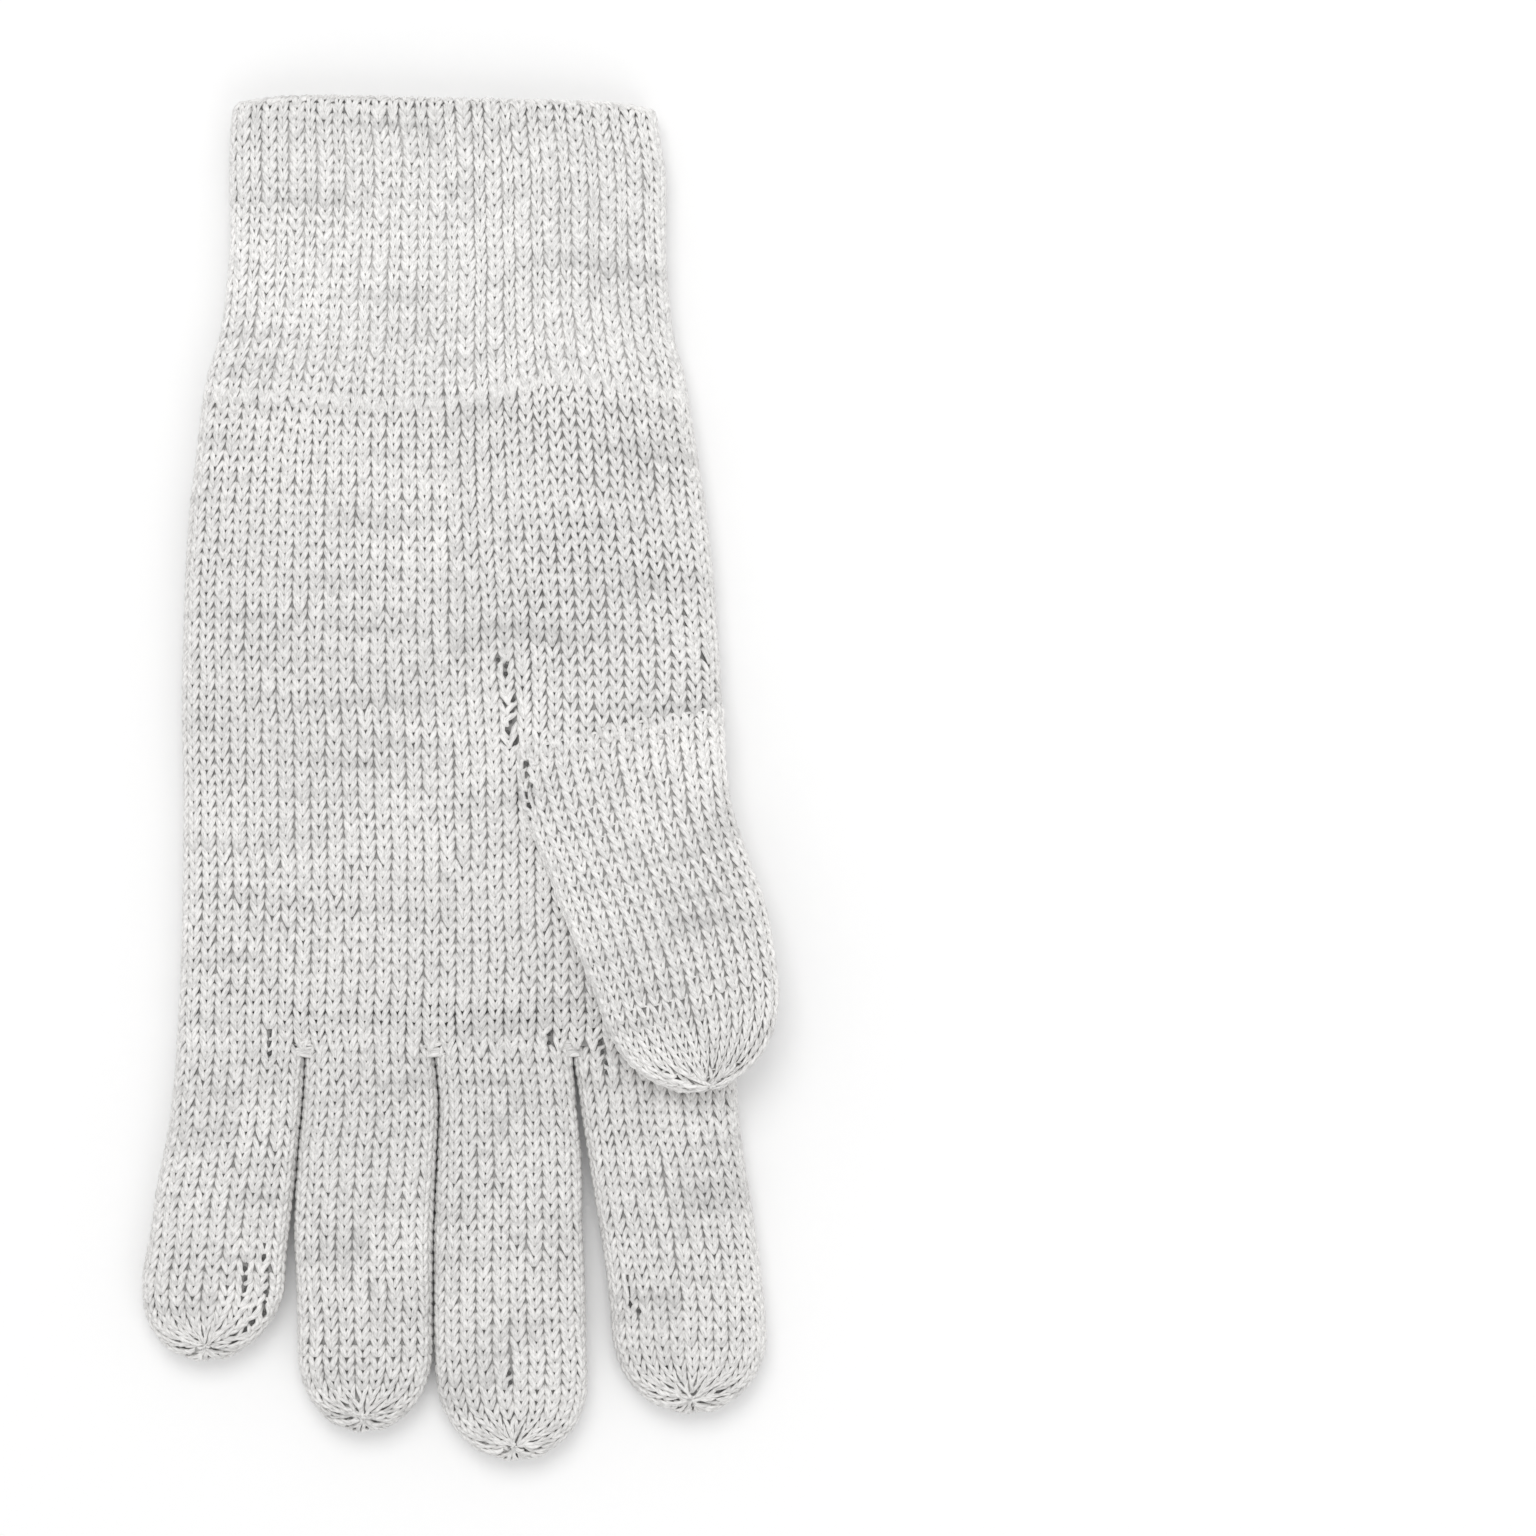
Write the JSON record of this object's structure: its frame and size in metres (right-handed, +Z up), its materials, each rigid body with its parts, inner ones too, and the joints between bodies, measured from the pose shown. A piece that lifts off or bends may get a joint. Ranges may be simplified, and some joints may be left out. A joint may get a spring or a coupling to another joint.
{
  "type": "knitted glove liner",
  "caption": "Plain knitted glove liner for one hand, lying palm up with the thumb folded over the palm, doubled cuff and open wrist.",
  "frame": {"origin": "on the resting surface, under the middle of the glove's bounding box", "axes": "+Y from the fingertips to the cuff, +X from the little finger's side to the thumb's side, +Z up, out of the palm"},
  "size_m": [0.1168, 0.2508, 0.0191],
  "materials": {
    "glove_knit": "soft light grey heather yarn, plain knit",
    "cuff_knit": "soft light grey heather yarn, doubled plain knit band"
  },
  "bodies": {
    "root": {"cuff": "cuff_knit", "hand": "glove_knit", "thumb": "glove_knit", "index_finger": "glove_knit", "middle_finger": "glove_knit", "ring_finger": "glove_knit", "little_finger": "glove_knit"}
  },
  "joints": []
}
